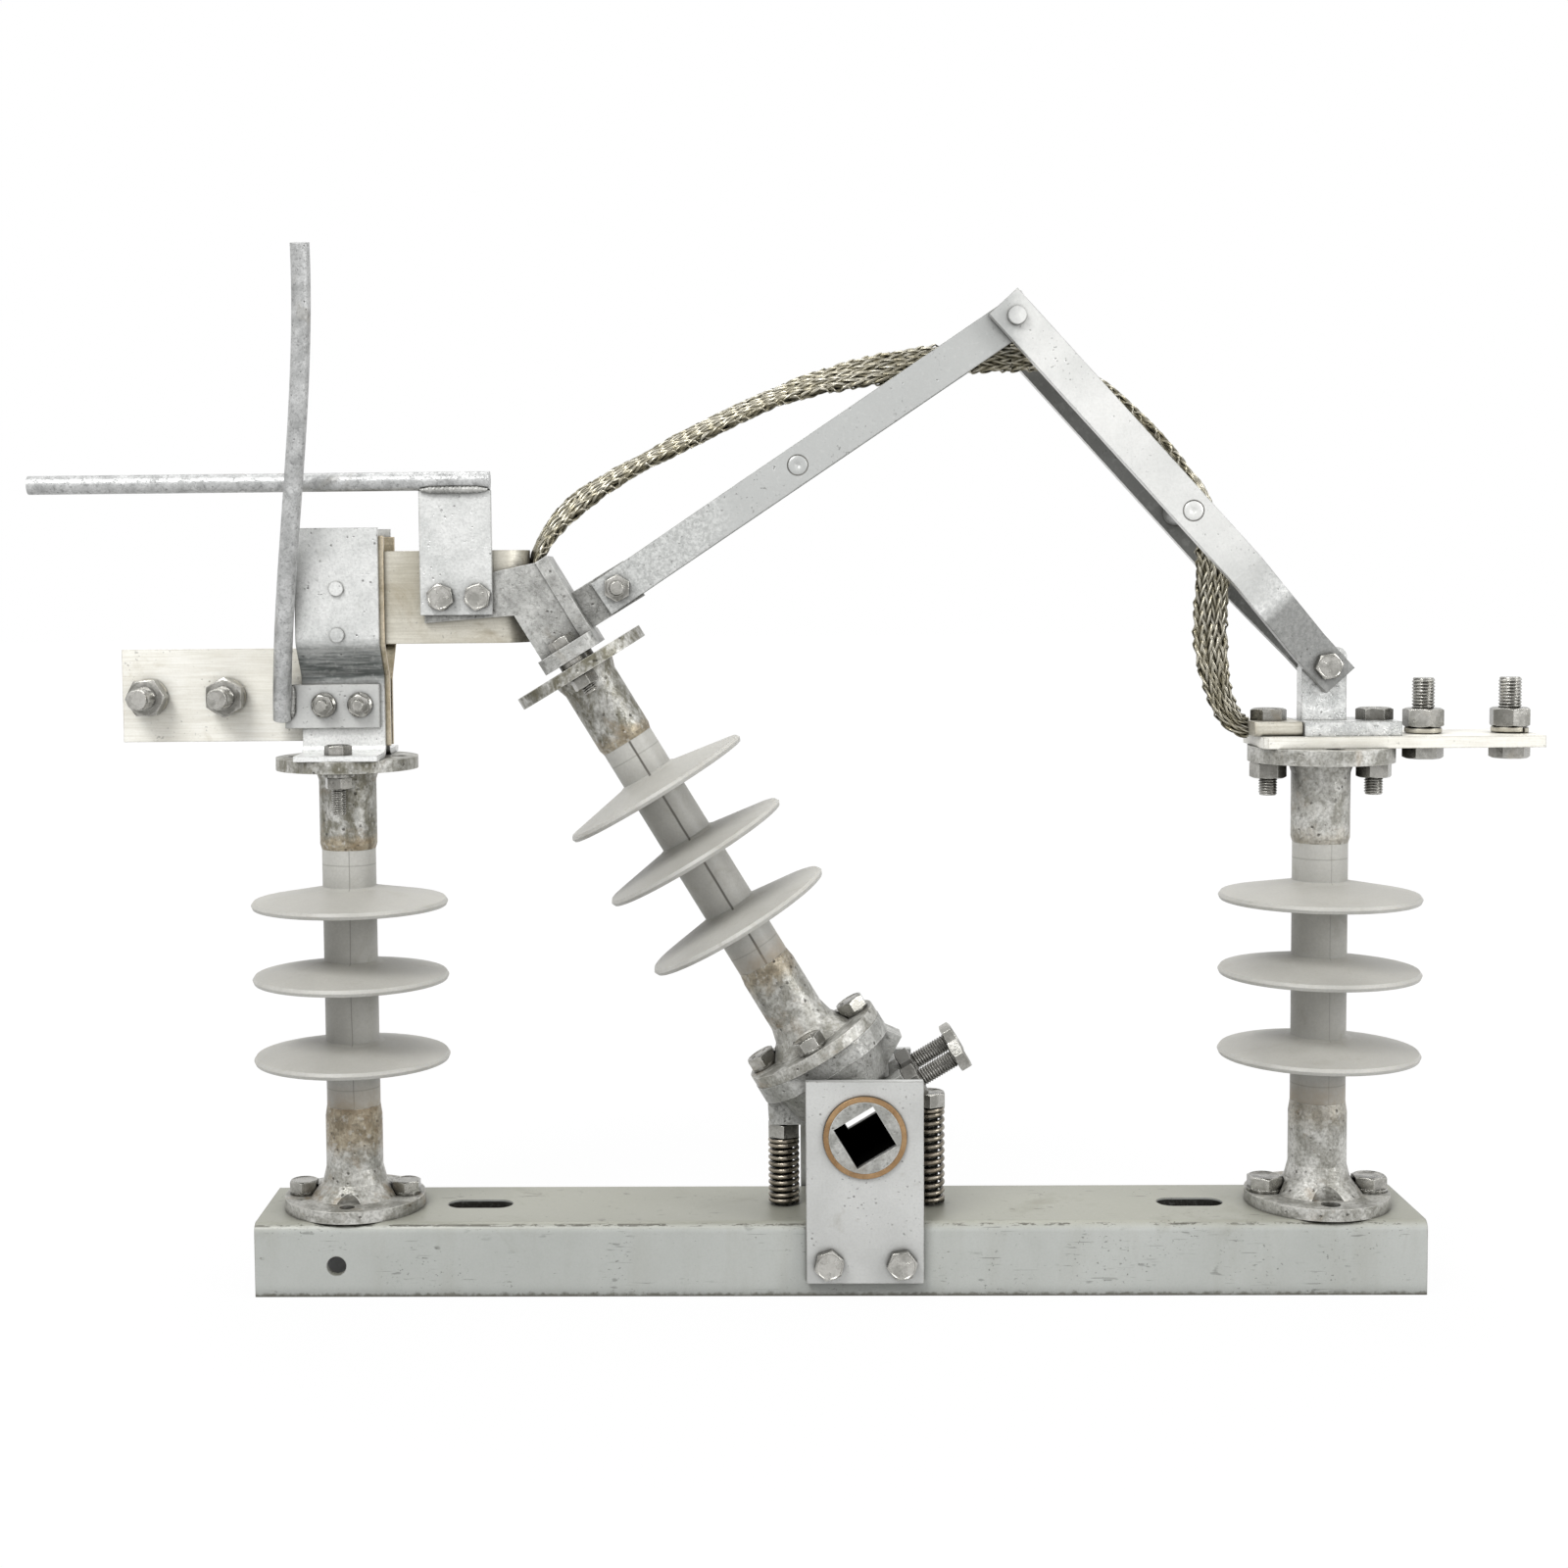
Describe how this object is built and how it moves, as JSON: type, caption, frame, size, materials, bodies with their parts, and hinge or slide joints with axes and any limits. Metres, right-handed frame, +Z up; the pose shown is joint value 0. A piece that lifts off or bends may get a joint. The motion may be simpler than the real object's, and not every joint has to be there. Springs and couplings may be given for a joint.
{
  "type": "disconnect switch",
  "caption": "One pole of an outdoor substation disconnect switch on a channel base, with a tilting post insulator, folding link arms, arcing horns and a flexible braid, shown closed.",
  "frame": {"origin": "centre between the two mounting slots, on the top face of the base channel", "axes": "+Z up along the upright post insulators, +X along the channel towards the hinged end, +Y away from the viewer, across the channel"},
  "size_m": [0.8062, 0.1246, 0.559],
  "materials": {
    "channel_paint": "satin",
    "galvanised_steel": "satin",
    "galvanised_casting": "matte",
    "galvanised_rod": "satin",
    "cast_fitting": "matte",
    "polymer_housing": "satin",
    "link_steel": "satin",
    "zinc_bolts": "satin",
    "black_bolts": "satin",
    "spring_steel": "satin",
    "jaw_steel": "satin",
    "contact_copper": "satin",
    "tinned_copper": "satin",
    "bronze": "satin",
    "braid_wire": "matte"
  },
  "bodies": {
    "base": {"base_channel": "channel_paint", "pivot_brackets": "galvanised_steel", "pivot_bushes": "bronze", "bracket_bolts": "zinc_bolts", "left_lower_fitting": "cast_fitting", "left_housing": "polymer_housing", "left_upper_fitting": "cast_fitting", "right_lower_fitting": "cast_fitting", "right_housing": "polymer_housing", "right_upper_fitting": "cast_fitting", "foot_bolts": "zinc_bolts", "spring_bolts": "zinc_bolts", "buffer_springs": "spring_steel", "hinge_pin": "zinc_bolts", "hinge_post": "galvanised_steel", "right_terminal": "tinned_copper", "right_terminal_bolts": "zinc_bolts", "post_bolts": "zinc_bolts", "braid_lug": "tinned_copper", "left_terminal": "tinned_copper", "left_terminal_bolts": "zinc_bolts", "jaw_plates": "jaw_steel", "jaw_fingers": "contact_copper", "jaw_rivets": "jaw_steel", "jaw_bolts": "zinc_bolts", "horn_clamp": "galvanised_steel", "fixed_horn": "galvanised_rod"},
    "tilting_post": {"rocker": "galvanised_casting", "stop_bolts": "black_bolts", "tilt_lower_fitting": "cast_fitting", "tilt_housing": "polymer_housing", "tilt_upper_fitting": "cast_fitting", "tilt_foot_bolts": "zinc_bolts", "head_casting": "galvanised_casting", "head_bolts": "zinc_bolts", "moving_contact": "tinned_copper", "horn_bracket": "galvanised_steel", "moving_horn": "galvanised_rod", "contact_bolts": "zinc_bolts", "lug_pin": "zinc_bolts"},
    "inner_arm": {"inner_link": "link_steel", "inner_spacers": "zinc_bolts", "braid_left": "braid_wire"},
    "outer_arm": {"outer_link": "link_steel", "outer_spacer": "zinc_bolts", "knee_pins": "zinc_bolts", "braid_right": "braid_wire"}
  },
  "joints": [
    {"name": "tilt", "type": "hinge", "parent": "base", "child": "tilting_post", "pos_m": [0.0146, 0, 0.0477], "axis": [0, 1, 0], "range_deg": [0, 32]},
    {"name": "inner_fold", "type": "hinge", "parent": "tilting_post", "child": "inner_arm", "pos_m": [-0.11537, 0, 0.34021], "axis": [0, 1, 0], "range_deg": [-44, 0], "deforming": ["braid_left"]},
    {"name": "outer_fold", "type": "hinge", "parent": "base", "child": "outer_arm", "pos_m": [0.265, 0, 0.295], "axis": [0, 1, 0], "range_deg": [0, 38], "deforming": ["braid_right"]}
  ],
  "couplings": [
    {"joint": "inner_fold", "follows": "tilt", "ratio": -1.349},
    {"joint": "outer_fold", "follows": "tilt", "ratio": 1.16}
  ]
}
